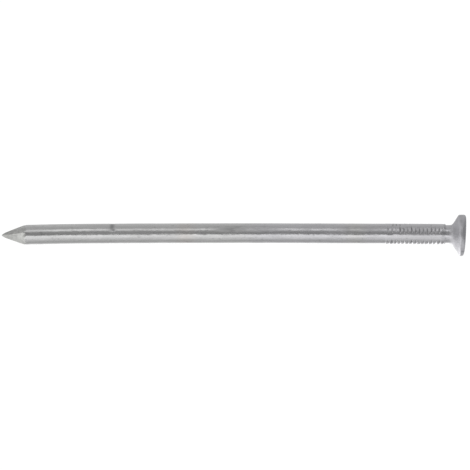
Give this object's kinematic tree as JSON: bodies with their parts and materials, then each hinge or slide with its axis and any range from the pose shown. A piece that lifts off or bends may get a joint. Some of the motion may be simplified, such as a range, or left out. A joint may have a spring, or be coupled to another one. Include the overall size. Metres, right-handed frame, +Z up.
{
  "type": "track nail",
  "caption": "Round wire nail with a countersunk head, a toothed grip band and a diamond point, for pinning model railway track to a baseboard.",
  "frame": {"origin": "centre of the head's struck face", "axes": "+X along the shank and out of the struck face, so the tip is at -X; +Z up for the nail as it lies on a bench"},
  "size_m": [0.024, 0.0022, 0.0022],
  "materials": {
    "bright_steel": "satin grey, as drawn: fine marks along the wire, small pits, darker in the grip notches"
  },
  "bodies": {
    "root": {"track_nail": "bright_steel"}
  },
  "joints": []
}
